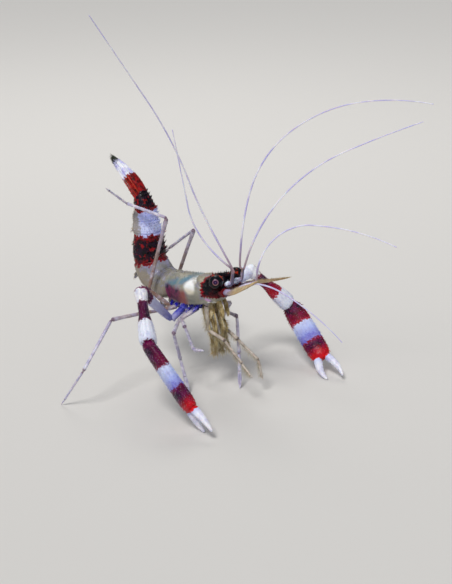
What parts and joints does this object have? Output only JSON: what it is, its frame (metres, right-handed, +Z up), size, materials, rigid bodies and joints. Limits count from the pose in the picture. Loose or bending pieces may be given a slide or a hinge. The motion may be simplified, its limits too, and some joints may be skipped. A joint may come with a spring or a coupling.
{
  "type": "shrimp",
  "caption": "Banded cleaner shrimp standing with spread claws and raised tail, a still life-size model with long feelers, slender legs and a bristly mouth.",
  "frame": {"origin": "middle of the underside of the whole animal's box, on the floor it stands on", "axes": "+Z up, +X towards the head, +Y towards the animal's left"},
  "size_m": [0.0866, 0.0708, 0.0999],
  "materials": {
    "shell_clear": "satin, clear shell",
    "shell_red": "satin, spiny red shell",
    "shell_white": "satin white shell",
    "leg_lilac": "satin, bluish shell",
    "setose_tan": "bristly, matt",
    "feeler": "fine, satin",
    "eye_black": "wet gloss"
  },
  "bodies": {
    "root": {"antenna_base_left": "shell_white", "antenna_base_right": "shell_white", "antenna_left": "feeler", "antenna_right": "feeler", "antenna_scale_left": "setose_tan", "antenna_scale_right": "setose_tan", "antennule_base_left": "shell_white", "antennule_base_right": "shell_white", "antennule_inner_left": "feeler", "antennule_inner_right": "feeler", "antennule_outer_left": "feeler", "antennule_outer_right": "feeler", "carapace": "shell_clear", "claw_base_left": "leg_lilac", "claw_base_right": "leg_lilac", "claw_carpus_left": "shell_red", "claw_carpus_right": "shell_red", "claw_finger_left": "shell_white", "claw_finger_right": "shell_white", "claw_merus_left": "leg_lilac", "claw_merus_right": "leg_lilac", "claw_palm_left": "shell_red", "claw_palm_right": "shell_red", "eye_left": "eye_black", "eye_right": "eye_black", "leg1_lower_left": "leg_lilac", "leg1_lower_right": "leg_lilac", "leg1_upper_left": "leg_lilac", "leg1_upper_right": "leg_lilac", "leg2_lower_left": "leg_lilac", "leg2_lower_right": "leg_lilac", "leg2_upper_left": "leg_lilac", "leg2_upper_right": "leg_lilac", "leg4_lower_left": "leg_lilac", "leg4_lower_right": "leg_lilac", "leg4_upper_left": "leg_lilac", "leg4_upper_right": "leg_lilac", "leg5_lower_left": "leg_lilac", "leg5_lower_right": "leg_lilac", "leg5_upper_left": "leg_lilac", "leg5_upper_right": "leg_lilac", "maxilliped_lower_left": "setose_tan", "maxilliped_lower_right": "setose_tan", "maxilliped_upper_left": "setose_tan", "maxilliped_upper_right": "setose_tan", "mouth_brush_left": "setose_tan", "mouth_brush_right": "setose_tan", "pleon_1": "shell_clear", "pleon_2": "shell_clear", "pleon_3": "shell_red", "pleon_4": "shell_white", "pleon_5": "shell_white", "pleon_6": "shell_red", "telson": "shell_white", "uropod_inner_left": "shell_white", "uropod_inner_right": "shell_white", "uropod_outer_left": "shell_white", "uropod_outer_right": "shell_white"}
  },
  "joints": []
}
